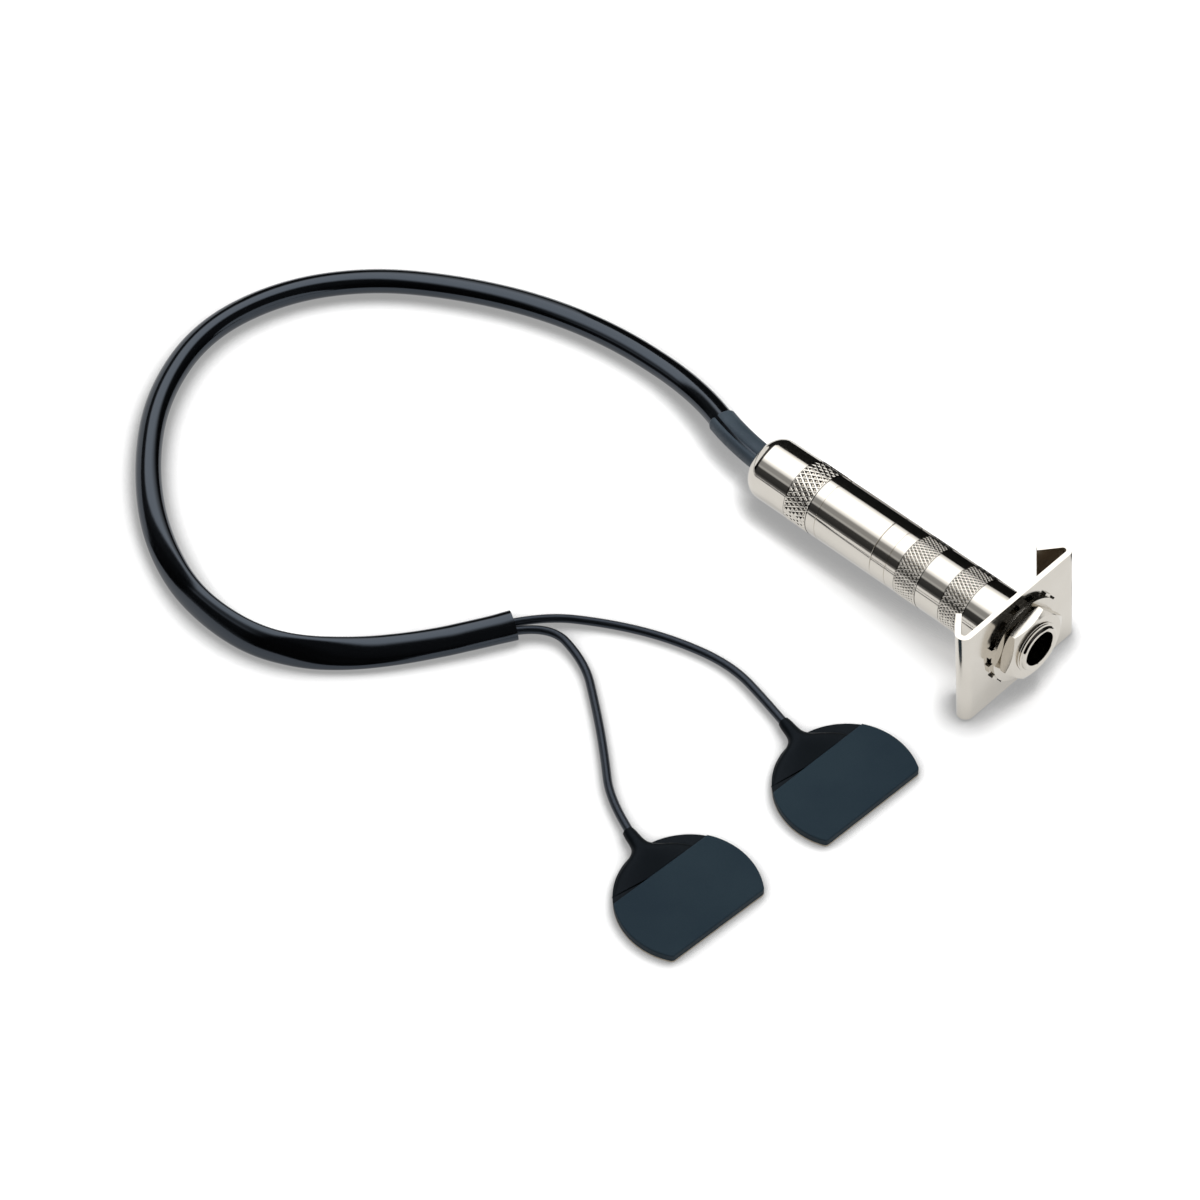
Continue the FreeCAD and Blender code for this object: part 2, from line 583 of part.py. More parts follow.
# Write every piece
jack = jack_place()
write("front_barrel", front, jack)
write("rear_handle", handle, jack)
write("threaded_bushing", bush, jack)
write("contact_insulator", core, jack)
write("tip_spring", spring, jack)
write("ground_lug", lug, jack)
write("mounting_bracket", bracket, jack)
write("lock_washer", lock, jack)
write("flat_washer", washer, jack)
write("hex_nut", nut, jack)
write("signal_wire", signal_wire)
write("ground_wire", ground_wire)
write("strain_relief", relief)
write("cable_sleeve", sleeve)
write("lead_right", lead_right)
write("lead_left", lead_left)
for pad_name, pad in PADS.items():
    there = pad_place(pad)
    write("base_" + pad_name, make_base(pad), there)
    write("brass_disc_" + pad_name, disc(BRASS_R, BASE_T, BASE_T + BRASS_T), there)
    write("ceramic_disc_" + pad_name, disc(CERAMIC_R, BASE_T + BRASS_T,
                                           BASE_T + BRASS_T + CERAMIC_T), there)
    write("cover_" + pad_name, make_cover(pad), there)
    write("boot_" + pad_name, make_boot(pad), there)
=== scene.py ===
"""Dresses the piezo pickup: a nickel plated jack, a glossy sleeve, two thin leads and two pads."""

import json
import logging
import math
from dataclasses import dataclass
from enum import Enum
from typing import Callable, Sequence

import bpy
from mathutils import Matrix, Vector

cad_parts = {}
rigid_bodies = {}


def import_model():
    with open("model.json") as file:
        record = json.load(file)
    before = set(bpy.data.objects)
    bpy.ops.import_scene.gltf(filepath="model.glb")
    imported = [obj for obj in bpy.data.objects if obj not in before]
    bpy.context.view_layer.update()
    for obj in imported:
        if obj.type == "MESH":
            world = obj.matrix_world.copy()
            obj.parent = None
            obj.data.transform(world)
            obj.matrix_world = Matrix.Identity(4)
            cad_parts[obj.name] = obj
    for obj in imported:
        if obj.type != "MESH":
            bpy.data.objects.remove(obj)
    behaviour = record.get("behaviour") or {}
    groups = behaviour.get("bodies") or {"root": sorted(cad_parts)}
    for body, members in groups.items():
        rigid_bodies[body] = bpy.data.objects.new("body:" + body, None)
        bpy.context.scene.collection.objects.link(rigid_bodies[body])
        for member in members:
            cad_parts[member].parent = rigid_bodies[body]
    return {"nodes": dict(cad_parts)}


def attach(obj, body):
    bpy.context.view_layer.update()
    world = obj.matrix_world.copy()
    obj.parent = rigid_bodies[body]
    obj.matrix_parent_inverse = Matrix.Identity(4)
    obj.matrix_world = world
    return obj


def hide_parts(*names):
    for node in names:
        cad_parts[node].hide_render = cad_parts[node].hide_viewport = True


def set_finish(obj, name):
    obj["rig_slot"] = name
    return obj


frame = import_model()

MM = 0.001
LOG = logging.getLogger("pickup")
Point = tuple[float, float, float]

# The jack lies on its bracket and on its rounded end, so its axis rises a little
JACK_TILT = math.radians(4.9698)
JACK_AT = Vector((27.895, 36.0, 10.845)) * MM
SEAM = -29.8
REAR = -60.4
MOUTH = 4.4


class Body(Enum):
    """The only body that pieces ride on."""

    ROOT = "root"


class Slot(Enum):
    """Finishes named in the record."""

    NICKEL = "nickel"
    CONTACT = "contact_metal"
    COPPER = "copper"
    INSULATOR = "insulator"
    RELIEF = "relief"
    SLEEVE = "sleeve"
    LEAD = "lead"
    COVER = "cover"
    BOOT = "boot"
    BASE = "base"
    BRASS = "brass_disc"
    CERAMIC = "ceramic"


# ---- small helpers ----


def linear(colour: str) -> tuple[float, float, float, float]:
    """Turn an sRGB hex colour into the linear values that sockets take.

    Args:
        colour: six hex digits with a leading hash.

    Returns:
        Red, green, blue and an alpha of one.
    """
    parts = [int(colour[i:i + 2], 16) / 255 for i in (1, 3, 5)]
    flat = [c / 12.92 if c <= 0.04045 else ((c + 0.055) / 1.055) ** 2.4 for c in parts]
    return (flat[0], flat[1], flat[2], 1.0)


def add_node(tree: bpy.types.NodeTree, kind: str, settings: dict | None = None,
             **links: object) -> bpy.types.Node:
    """Add one node, set it up and link it.

    Args:
        tree: node tree that receives it.
        kind: Blender's name of the node type.
        settings: attributes of the node, or values of sockets by name or number.
        links: sockets to link from, by the name of the input with _ for a space.

    Returns:
        The new node.
    """
    made = tree.nodes.new(kind)
    for name, value in (settings or {}).items():
        if isinstance(name, int) or name in made.inputs:
            made.inputs[name].default_value = value
        else:
            setattr(made, name, value)
    for name, source in links.items():
        key = int(name[1:]) if name[1:].isdigit() else name.replace("_", " ")
        tree.links.new(source, made.inputs[key])
    return made


def select_only(piece: bpy.types.Object) -> None:
    """Deselect everything, then select one object and make it active."""
    for other in bpy.context.view_layer.objects:
        other.select_set(False)
    piece.select_set(True)
    bpy.context.view_layer.objects.active = piece


def clear_selection() -> None:
    """Deselect every object."""
    for other in bpy.context.view_layer.objects:
        other.select_set(False)


def settle(piece: bpy.types.Object, place: Matrix | None = None) -> None:
    """Move a finished piece to its place and put that place in its mesh."""
    select_only(piece)
    if place is not None:
        piece.matrix_world = place @ piece.matrix_world
    bpy.ops.object.transform_apply(location=True, rotation=True, scale=True)


def smooth(piece: bpy.types.Object, degrees: float = 32.0) -> None:
    """Shade a piece smooth, but keep edges sharper than an angle."""
    select_only(piece)
    bpy.ops.object.shade_smooth_by_angle(angle=math.radians(degrees))


def finish_modifier(piece: bpy.types.Object, kind: str, **settings: object) -> None:
    """Add one modifier with its settings and apply it."""
    select_only(piece)
    modifier = piece.modifiers.new(kind.title(), kind)
    for name, value in settings.items():
        setattr(modifier, name, value)
    bpy.ops.object.modifier_apply(modifier=modifier.name)


def place_piece(piece: bpy.types.Object, slot: Slot, nodes: Sequence[str],
                finish: bpy.types.Material) -> None:
    """Dress a piece, let it ride on the body and stand for its nodes."""
    piece.data.materials.clear()
    piece.data.materials.append(finish)
    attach(piece, Body.ROOT.value)
    if nodes:
        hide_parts(*nodes)
    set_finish(piece, slot.value)
    LOG.info("%s stands for %s", piece.name, ", ".join(nodes) or "nothing")


def dress_node(node: str, finish: bpy.types.Material) -> None:
    """Give a node that stays as it is a better finish."""
    shape = frame["nodes"][node]
    shape.data.materials.clear()
    shape.data.materials.append(finish)
    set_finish(shape, shape.get("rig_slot", NODE_SLOTS[node].value))
    LOG.info("%s keeps its shape", node)


def jack_place() -> Matrix:
    """Matrix from the turning axis, +Z forward and +X up, to the jack's own place."""
    forward = Vector((math.cos(JACK_TILT), 0.0, math.sin(JACK_TILT)))
    up = Vector((-math.sin(JACK_TILT), 0.0, math.cos(JACK_TILT)))
    side = forward.cross(up)
    turn = Matrix((up, side, forward)).transposed().to_4x4()
    return Matrix.Translation(JACK_AT) @ turn


def on_axis(a: float, y: float = 0.0, z: float = 0.0) -> Vector:
    """Point in metres, given in millimetres along, beside and above the jack's axis."""
    return jack_place() @ Vector((z * MM, -y * MM, a * MM))


def turn_profile(name: str, profile: Sequence[tuple[float, float]], steps: int = 128,
                 closed: bool = True) -> bpy.types.Object:
    """Turn a piece from its profile: a circle that is extruded and scaled ring by ring.

    Args:
        name: name of the piece.
        profile: (position along the axis, radius) corners in millimetres.
        steps: number of sides of the turned rings.
        closed: whether the last ring joins the first, as round a bore.

    Returns:
        The turned object, along +Z.
    """
    clear_selection()
    a, r = profile[0]
    bpy.ops.mesh.primitive_circle_add(vertices=steps, radius=r * MM, location=(0, 0, a * MM))
    piece = bpy.context.object
    piece.name = name
    bpy.ops.object.transform_apply(location=True)
    bpy.ops.object.mode_set(mode="EDIT")
    bpy.ops.mesh.select_mode(type="EDGE")
    bpy.ops.mesh.select_all(action="SELECT")
    for next_a, next_r in list(profile[1:]) + ([profile[0]] if closed else []):
        move = (0.0, 0.0, (next_a - a) * MM)
        bpy.ops.mesh.extrude_region_move(TRANSFORM_OT_translate={"value": move})
        grow = next_r / r
        bpy.ops.transform.resize(value=(grow, grow, 1.0), center_override=(0, 0, next_a * MM))
        a, r = next_a, next_r
    bpy.ops.mesh.select_all(action="SELECT")
    bpy.ops.mesh.remove_doubles(threshold=1e-7)
    bpy.ops.mesh.normals_make_consistent(inside=False)
    bpy.ops.object.mode_set(mode="OBJECT")
    return piece


def rounded(centre: tuple[float, float], radius: float, start: float, stop: float,
            steps: int) -> list[tuple[float, float]]:
    """Points of a rounded corner in a profile, by the angle from the axis direction."""
    angles = [math.radians(start + (stop - start) * i / steps) for i in range(steps + 1)]
    return [(centre[0] + radius * math.cos(t), centre[1] + radius * math.sin(t)) for t in angles]


# ---- finishes ----


def new_material(name: str) -> tuple[bpy.types.Material, bpy.types.NodeTree, bpy.types.Node]:
    """Make an empty material with its shader and output.

    Args:
        name: what the real material is.

    Returns:
        The material, its node tree and its principled shader.
    """
    material = bpy.data.materials.new(name)
    material.use_nodes = True
    tree = material.node_tree
    tree.nodes.clear()
    shader = add_node(tree, "ShaderNodeBsdfPrincipled")
    add_node(tree, "ShaderNodeOutputMaterial", None, Surface=shader.outputs[0])
    return material, tree, shader


@dataclass(frozen=True)
class NickelPlate:
    """Bright nickel plate on turned brass or folded sheet: warm grey, clear reflections."""

    name: str = "bright_nickel_plate"
    colour: str = "#DEDAD2"
    worn: str = "#D2CCC2"
    roughness: float = 0.06
    haze: float = 0.05
    # size of the cloudy patches that handling leaves
    cloud_mm: float = 9.0
    # polishing marks are finer than this, but would not show
    grain_mm: float = 0.6
    bump_mm: float = 0.004
    bump: float = 0.25

    def material(self) -> bpy.types.Material:
        """Build the material from cloudy haze, fine handling marks and soft bump."""
        made, tree, shader = new_material(self.name)
        shader.inputs["Metallic"].default_value = 1.0
        where = add_node(tree, "ShaderNodeTexCoord")
        cloud = add_node(tree, "ShaderNodeTexNoise",
                         {"Scale": 1000 / self.cloud_mm, "Detail": 3.0},
                         Vector=where.outputs["Object"])
        fine = add_node(tree, "ShaderNodeTexNoise",
                        {"Scale": 1000 / self.grain_mm, "Detail": 2.0},
                        Vector=where.outputs["Object"])
        tint = add_node(tree, "ShaderNodeMix", {"data_type": "RGBA", 6: linear(self.colour),
                                                7: linear(self.worn)}, _0=cloud.outputs[0])
        tree.links.new(tint.outputs[2], shader.inputs["Base Color"])
        rough = add_node(tree, "ShaderNodeMapRange",
                         {"From Min": 0.35, "From Max": 0.75, "To Min": self.roughness,
                          "To Max": self.roughness + self.haze}, Value=cloud.outputs[0])
        tree.links.new(rough.outputs[0], shader.inputs["Roughness"])
        bump = add_node(tree, "ShaderNodeBump",
                        {"Strength": self.bump, "Distance": self.bump_mm * MM},
                        Height=fine.outputs[0])
        tree.links.new(bump.outputs[0], shader.inputs["Normal"])
        return made


@dataclass(frozen=True)
class TubePlastic:
    """Extruded or shrunk tubing, rubber or moulded plastic, with a fine surface grain."""

    name: str
    colour: str
    second: str
    roughness: float
    spread: float = 0.05
    ior: float = 1.5
    # the die's grain, drawn coarse enough to show
    grain_mm: float = 0.35
    # patches that handling and dust leave
    patch_mm: float = 12.0
    bump_mm: float = 0.01
    bump: float = 0.3
    tint: str = "#FFFFFF"

    def material(self) -> bpy.types.Material:
        """Build the material from broad patches, a fine grain and a soft bump."""
        made, tree, shader = new_material(self.name)
        shader.inputs["IOR"].default_value = self.ior
        shader.inputs["Specular Tint"].default_value = linear(self.tint)
        where = add_node(tree, "ShaderNodeTexCoord")
        patch = add_node(tree, "ShaderNodeTexNoise",
                         {"Scale": 1000 / self.patch_mm, "Detail": 3.0},
                         Vector=where.outputs["Object"])
        grain = add_node(tree, "ShaderNodeTexNoise",
                         {"Scale": 1000 / self.grain_mm, "Detail": 2.0, "Roughness": 0.6},
                         Vector=where.outputs["Object"])
        ramp = add_node(tree, "ShaderNodeMapRange", {"From Min": 0.35, "From Max": 0.65},
                        Value=patch.outputs[0])
        tint = add_node(tree, "ShaderNodeMix", {"data_type": "RGBA", 6: linear(self.colour),
                                                7: linear(self.second)}, _0=ramp.outputs[0])
        tree.links.new(tint.outputs[2], shader.inputs["Base Color"])
        rough = add_node(tree, "ShaderNodeMapRange",
                         {"From Min": 0.3, "From Max": 0.7, "To Min": self.roughness,
                          "To Max": self.roughness + self.spread}, Value=grain.outputs[0])
        tree.links.new(rough.outputs[0], shader.inputs["Roughness"])
        bump = add_node(tree, "ShaderNodeBump",
                        {"Strength": self.bump, "Distance": self.bump_mm * MM},
                        Height=grain.outputs[0])
        tree.links.new(bump.outputs[0], shader.inputs["Normal"])
        return made


@dataclass(frozen=True)
class BareMetal:
    """Unplated inner metal: spring strip, lug, disc or copper, with rolled streaks."""

    name: str
    colour: str
    roughness: float = 0.28
    # streaks from the rolls, drawn this wide and longer along X
    streak_mm: float = 0.3
    streak_stretch: Point = (0.15, 1.0, 1.0)

    def material(self) -> bpy.types.Material:
        """Build the material with faint rolled streaks."""
        made, tree, shader = new_material(self.name)
        shader.inputs["Metallic"].default_value = 1.0
        shader.inputs["Base Color"].default_value = linear(self.colour)
        where = add_node(tree, "ShaderNodeTexCoord")
        scaled = add_node(tree, "ShaderNodeMapping", {"Scale": self.streak_stretch},
                          Vector=where.outputs["Object"])
        streak = add_node(tree, "ShaderNodeTexNoise",
                          {"Scale": 1000 / self.streak_mm, "Detail": 3.0},
                          Vector=scaled.outputs[0])
        rough = add_node(tree, "ShaderNodeMapRange",
                         {"To Min": self.roughness - 0.08, "To Max": self.roughness + 0.1},
                         Value=streak.outputs[0])
        tree.links.new(rough.outputs[0], shader.inputs["Roughness"])
        return made


NODE_SLOTS = {
    "contact_insulator": Slot.INSULATOR, "tip_spring": Slot.CONTACT, "ground_lug": Slot.CONTACT,
    "signal_wire": Slot.COPPER, "ground_wire": Slot.COPPER, "mounting_bracket": Slot.NICKEL,
    "lock_washer": Slot.NICKEL, "flat_washer": Slot.NICKEL, "hex_nut": Slot.NICKEL,
    "brass_disc_right": Slot.BRASS, "brass_disc_left": Slot.BRASS,
    "ceramic_disc_right": Slot.CERAMIC, "ceramic_disc_left": Slot.CERAMIC,
    "base_right": Slot.BASE, "base_left": Slot.BASE, "cover_right": Slot.COVER,
    "cover_left": Slot.COVER, "boot_right": Slot.BOOT, "boot_left": Slot.BOOT,
}


# ---- camera and light ----


@dataclass
class Studio:
    """Camera, soft overhead light, white table and the paper that the metal mirrors.

    The camera's places are in millimetres, all others in metres.
    """

    eye: Point = (369.3, -411.6, 749.9)
    target: Point = (-34.3, -2.85, 0.0)
    lens: float = 163.56
    sensor: float = 36.0
    lamp: float = 5.4
    lamp_side: float = 0.60
    lamp_at: Point = (-0.08, 0.30, 0.72)
    lamp_aim: Point = (-0.02, 0.0, 0.0)
    fill: float = 0.36
    # painted contact shade: the table's colour darkens within this distance of what lies on it
    contact: float = 0.005
    # glow of the table as seen, and as mirrored, where its own shade counts less
    seen_glow: float = 0.34
    mirrored_glow: float = 0.64
    mirrored_shade: float = 0.30
    tunnel_r: float = 0.9
    tunnel_length: float = 3.0
    tunnel_at: Point = (-0.2, 0.036, 0.011)
    # the tunnel fades between these places along X, each with its two levels
    right_fade: tuple[float, float, float, float] = (-0.06, 0.18, 2.0, 0.04)
    left_fade: tuple[float, float, float, float] = (-0.78, -0.60, 0.03, 1.0)
    # height angle in degrees and brightness of the tunnel's paper
    paper: Sequence[tuple[float, float]] = (
        (0, 0.03), (20, 0.03), (25, 0.28), (31, 0.54), (41, 1.0), (50, 1.6), (56, 2.0),
        (106, 2.0), (114, 1.4), (120, 1.0), (125, 0.40), (128, 0.33), (139, 0.33),
        (144, 0.52), (147, 0.42), (150, 0.05), (172, 0.03), (177, 0.12), (180, 0.2))

    def camera(self) -> None:
        """Stand the camera where the photograph was taken from."""
        data = bpy.data.cameras.new("camera")
        data.lens = self.lens
        data.sensor_width = self.sensor
        data.clip_start = 0.02
        data.clip_end = 20.0
        eye = Vector(self.eye) * MM
        look = Vector(self.target) * MM - eye
        view = bpy.data.objects.new("camera", data)
        view.location = eye
        view.rotation_mode = "QUATERNION"
        view.rotation_quaternion = look.to_track_quat("-Z", "Y")
        bpy.context.scene.collection.objects.link(view)
        bpy.context.scene.camera = view

    def floor(self) -> None:
        """Lay a plain white table whose colour darkens close to what lies on it, a painted contact
        shade.
        """
        clear_selection()
        bpy.ops.mesh.primitive_plane_add(size=6.0, location=(0, 0, -0.00002))
        plane = bpy.context.object
        plane.name = "floor"
        made, tree, shader = new_material("white_table")
        shader.inputs["Roughness"].default_value = 1.0
        shader.inputs["Specular IOR Level"].default_value = 0.0
        # painted contact shade: ambient occlusion darkens the table's own colour near the pieces
        near = add_node(tree, "ShaderNodeAmbientOcclusion",
                        {"samples": 6, "Distance": self.contact})
        painted_contact_shade = add_node(tree, "ShaderNodeMapRange",
                          {"From Min": 0.60, "From Max": 0.97, "To Min": 0.04, "To Max": 0.94},
                          Value=near.outputs["AO"])
        path = add_node(tree, "ShaderNodeLightPath")
        dim = add_node(tree, "ShaderNodeMapRange", {"To Min": 1.0, "To Max": self.mirrored_shade},
                       Value=path.outputs["Is Glossy Ray"])
        tone = add_node(tree, "ShaderNodeMath", {"operation": "MULTIPLY"},
                        _0=painted_contact_shade.outputs[0], _1=dim.outputs[0])
        grey = add_node(tree, "ShaderNodeCombineColor", None, Red=tone.outputs[0],
                        Green=tone.outputs[0], Blue=tone.outputs[0])
        tree.links.new(grey.outputs[0], shader.inputs["Base Color"])
        shader.inputs["Emission Color"].default_value = (1.0, 1.0, 1.0, 1.0)
        shine = add_node(tree, "ShaderNodeMath",
                         {"operation": "MULTIPLY", 1: self.mirrored_glow},
                         _0=path.outputs["Is Glossy Ray"])
        glow = add_node(tree, "ShaderNodeMath",
                        {"operation": "MULTIPLY_ADD", 1: self.seen_glow},
                        _0=path.outputs["Is Camera Ray"], _2=shine.outputs[0])
        tree.links.new(glow.outputs[0], shader.inputs["Emission Strength"])
        plane.data.materials.append(made)

    def seen_rays(self, tree: bpy.types.NodeTree, target: bpy.types.NodeSocket,
                  other: float, seen: float) -> None:
        """Drive a strength by camera, glossy and transmission rays against all others."""
        path = add_node(tree, "ShaderNodeLightPath")
        either = add_node(tree, "ShaderNodeMath", {"operation": "MAXIMUM"},
                          _0=path.outputs["Is Camera Ray"], _1=path.outputs["Is Glossy Ray"])
        any_of = add_node(tree, "ShaderNodeMath", {"operation": "MAXIMUM"},
                          _0=either.outputs[0], _1=path.outputs["Is Transmission Ray"])
        strength = add_node(tree, "ShaderNodeMapRange", {"To Min": other, "To Max": seen},
                            Value=any_of.outputs[0])
        tree.links.new(strength.outputs[0], target)

    def sky(self) -> None:
        """Give an even soft fill, white where it is seen."""
        world = bpy.data.worlds.new("studio")
        bpy.context.scene.world = world
        world.use_nodes = True
        tree = world.node_tree
        tree.nodes.clear()
        back = add_node(tree, "ShaderNodeBackground", {"Color": (1.0, 1.0, 1.0, 1.0)})
        self.seen_rays(tree, back.inputs["Strength"], self.fill, 1.0)
        add_node(tree, "ShaderNodeOutputWorld", None, Surface=back.outputs[0])

    def softbox(self) -> None:
        """Hang one broad softbox above and behind, so shadows fall to the front."""
        data = bpy.data.lights.new("softbox", "AREA")
        data.shape = "RECTANGLE"
        data.size = self.lamp_side
        data.size_y = self.lamp_side
        data.energy = self.lamp
        lamp = bpy.data.objects.new("softbox", data)
        lamp.location = self.lamp_at
        lamp.rotation_mode = "QUATERNION"
        look = Vector(self.lamp_aim) - lamp.location
        lamp.rotation_quaternion = look.to_track_quat("-Z", "Y")
        lamp.visible_glossy = False
        bpy.context.scene.collection.objects.link(lamp)

    def tunnel(self) -> None:
        """Stand a curved paper tunnel over the table, seen only in polished surfaces.

        Its brightness changes with the height angle round the jack, from the back of
        the table at zero, over the top, to the front at 180 degrees.
        """
        clear_selection()
        bpy.ops.mesh.primitive_cylinder_add(
            vertices=128, radius=self.tunnel_r, depth=self.tunnel_length,
            end_fill_type="NOTHING", rotation=(0.0, math.radians(90), 0.0),
            location=self.tunnel_at)
        card = bpy.context.object
        card.name = "paper_tunnel"
        bpy.ops.object.transform_apply(location=False, rotation=True, scale=False)
        made = bpy.data.materials.new("graded_paper")
        made.use_nodes = True
        tree = made.node_tree
        tree.nodes.clear()
        where = add_node(tree, "ShaderNodeTexCoord")
        parts = add_node(tree, "ShaderNodeSeparateXYZ", None, Vector=where.outputs["Object"])
        angle = add_node(tree, "ShaderNodeMath", {"operation": "ARCTAN2"},
                         _0=parts.outputs["Z"], _1=parts.outputs["Y"])
        share = add_node(tree, "ShaderNodeMapRange", {"From Max": math.pi},
                         Value=angle.outputs[0])
        ramp = add_node(tree, "ShaderNodeValToRGB", None, Fac=share.outputs[0])
        stops = ramp.color_ramp.elements
        for i, (degrees, level) in enumerate(self.paper):
            stop = stops[i] if i < 2 else stops.new(degrees / 180)
            stop.position = degrees / 180
            # a ramp holds levels up to one, so it is halved here and doubled by the fade
            grey = level / 2
            stop.color = (grey, grey, grey, 1.0)
        fades = [add_node(tree, "ShaderNodeMapRange",
                          {"interpolation_type": "SMOOTHSTEP", "From Min": start,
                           "From Max": stop, "To Min": level, "To Max": next_level},
                          Value=parts.outputs["X"])
                 for start, stop, level, next_level in (self.right_fade, self.left_fade)]
        both = add_node(tree, "ShaderNodeMath", {"operation": "MULTIPLY"},
                        _0=fades[0].outputs[0], _1=fades[1].outputs[0])
        glow = add_node(tree, "ShaderNodeEmission", None, Color=ramp.outputs[0],
                        Strength=both.outputs[0])
        add_node(tree, "ShaderNodeOutputMaterial", None, Surface=glow.outputs[0])
        card.data.materials.append(made)
        self.hide_from_light(card)

    def dark_card(self, name: str, middle: Point, size: tuple[float, float],
                  colour: str, upright: bool) -> None:
        """Stand or lay one dark card near the jack, seen only in polished surfaces.

        Args:
            name: name of the card.
            middle: its middle in metres.
            size: its length along X and its height or depth, in metres.
            colour: of its paper; on a lying card, a painted shade of the table.
            upright: whether it stands instead of lying on the table.
        """
        clear_selection()
        turn = (math.radians(90) if upright else 0.0, 0.0, 0.0)
        bpy.ops.mesh.primitive_plane_add(size=1.0, location=middle, rotation=turn)
        card = bpy.context.object
        card.name = name
        card.scale = (size[0], size[1], 1.0)
        made, _, shader = new_material("dark_flag_and_painted_shade_paper")
        shader.inputs["Base Color"].default_value = linear(colour)
        shader.inputs["Roughness"].default_value = 0.9
        card.data.materials.append(made)
        self.hide_from_light(card)

    def hide_from_light(self, card: bpy.types.Object) -> None:
        """Let only glossy rays meet a card."""
        for ray in ("camera", "diffuse", "transmission", "volume_scatter", "shadow"):
            setattr(card, "visible_" + ray, False)

    def build(self) -> None:
        """Set up everything round the object."""
        self.camera()
        self.floor()
        self.sky()
        self.softbox()
        self.tunnel()
        self.dark_card("back_card", (-0.028, 0.066, 0.0175), (0.146, 0.035), "#0A0A0A", True)
        # painted shade: this brown card stands for the table in shade beside the barrel, as the
        # bracket's lip mirrors it
        self.dark_card("lip_painted_shade_card", (-0.0015, 0.048, 0.0003), (0.057, 0.024), "#55493C", False)
        bpy.context.scene.view_settings.view_transform = "Standard"


# ---- cords ----


@dataclass
class Route:
    """A cord's route: control points in millimetres and the smooth line through them."""

    name: str
    points: Sequence[Point]

    def spline(self) -> bpy.types.Curve:
        """Make the NURBS curve whose control points are the route's points."""
        curve = bpy.data.curves.new(self.name + "_line", "CURVE")
        curve.dimensions = "3D"
        curve.resolution_u = 24
        line = curve.splines.new("NURBS")
        line.points.add(len(self.points) - 1)
        for knot, place in zip(line.points, self.points):
            knot.co = (place[0] * MM, place[1] * MM, place[2] * MM, 1.0)
        line.order_u = 3
        line.use_endpoint_u = True
        return curve

    def line(self) -> list[Vector]:
        """Read the smooth line of the spline as points in metres."""
        holder = bpy.data.objects.new(self.name + "_holder", self.spline())
        bpy.context.scene.collection.objects.link(holder)
        graph = bpy.context.evaluated_depsgraph_get()
        mesh = bpy.data.meshes.new_from_object(holder.evaluated_get(graph))
        points = [v.co.copy() for v in mesh.vertices]
        bpy.data.objects.remove(holder)
        bpy.data.meshes.remove(mesh)
        return points


def length_of(points: Sequence[Vector]) -> float:
    """Length of a line of points."""
    return sum((b - a).length for a, b in zip(points, points[1:]))


def resample(points: Sequence[Vector], step: float) -> list[Vector]:
    """Walk along a line in even steps and keep both of its ends."""
    total = length_of(points)
    count = max(2, round(total / step))
    wanted = [total * i / count for i in range(count + 1)]
    made, travelled, i = [points[0].copy()], 0.0, 0
    for goal in wanted[1:-1]:
        while travelled + (points[i + 1] - points[i]).length < goal:
            travelled += (points[i + 1] - points[i]).length
            i += 1
        run = points[i + 1] - points[i]
        made.append(points[i] + run * ((goal - travelled) / run.length))
    return made + [points[-1].copy()]


Section = Callable[[float, float], tuple[float, float]]


def skin(name: str, line: Sequence[Vector], section: Section, sides: int,
         rolls: Sequence[float]) -> bpy.types.Object:
    """Cover a line with rings of a section that may turn and change along it.

    Args:
        name: name of the piece.
        line: points of the centre line in metres.
        section: gives (level, upward) offsets in metres for a share and an angle.
        sides: number of points in a ring.
        rolls: turn of each ring about the line, in radians.

    Returns:
        The tube with both ends closed and a UV map in metres.
    """
    travelled = [0.0]
    for a, b in zip(line, line[1:]):
        travelled.append(travelled[-1] + (b - a).length)
    vertices: list[Vector] = []
    for i, point in enumerate(line):
        ahead = (line[min(i + 1, len(line) - 1)] - line[max(i - 1, 0)]).normalized()
        level = Vector((0, 0, 1)).cross(ahead).normalized()
        up = ahead.cross(level)
        share = travelled[i] / travelled[-1]
        c, s = math.cos(rolls[i]), math.sin(rolls[i])
        for k in range(sides):
            x, y = section(share, 2 * math.pi * k / sides)
            vertices.append(point + level * (x * c - y * s) + up * (x * s + y * c))
    faces = []
    for i in range(len(line) - 1):
        for k in range(sides):
            n = (k + 1) % sides
            faces.append((i * sides + k, i * sides + n, (i + 1) * sides + n, (i + 1) * sides + k))
    last = (len(line) - 1) * sides
    faces.append(tuple(range(sides - 1, -1, -1)))
    faces.append(tuple(range(last, last + sides)))
    mesh = bpy.data.meshes.new(name)
    mesh.from_pydata([tuple(v) for v in vertices], [], faces)
    mapped = mesh.uv_layers.new(name="UVMap")
    for face in mesh.polygons:
        for corner in face.loop_indices:
            ring, k = divmod(mesh.loops[corner].vertex_index, sides)
            wrap = 1.0 if k == 0 and max(face.vertices) % sides == sides - 1 else k / sides
            mapped.data[corner].uv = (travelled[ring], wrap * 0.012)
    piece = bpy.data.objects.new(name, mesh)
    bpy.context.scene.collection.objects.link(piece)
    select_only(piece)
    bpy.ops.object.mode_set(mode="EDIT")
    bpy.ops.mesh.select_all(action="SELECT")
    bpy.ops.mesh.normals_make_consistent(inside=False)
    bpy.ops.object.mode_set(mode="OBJECT")
    smooth(piece, 50.0)
    return piece


def eased(stations: Sequence[tuple[float, float]], share: float) -> float:
    """Blend smoothly between (share, value) stations along a cord."""
    for (s0, v0), (s1, v1) in zip(stations, stations[1:]):
        if share <= s1:
            t = max(0.0, (share - s0) / (s1 - s0))
            t = t * t * (3 - 2 * t)
            return v0 + (v1 - v0) * t
    return stations[-1][1]
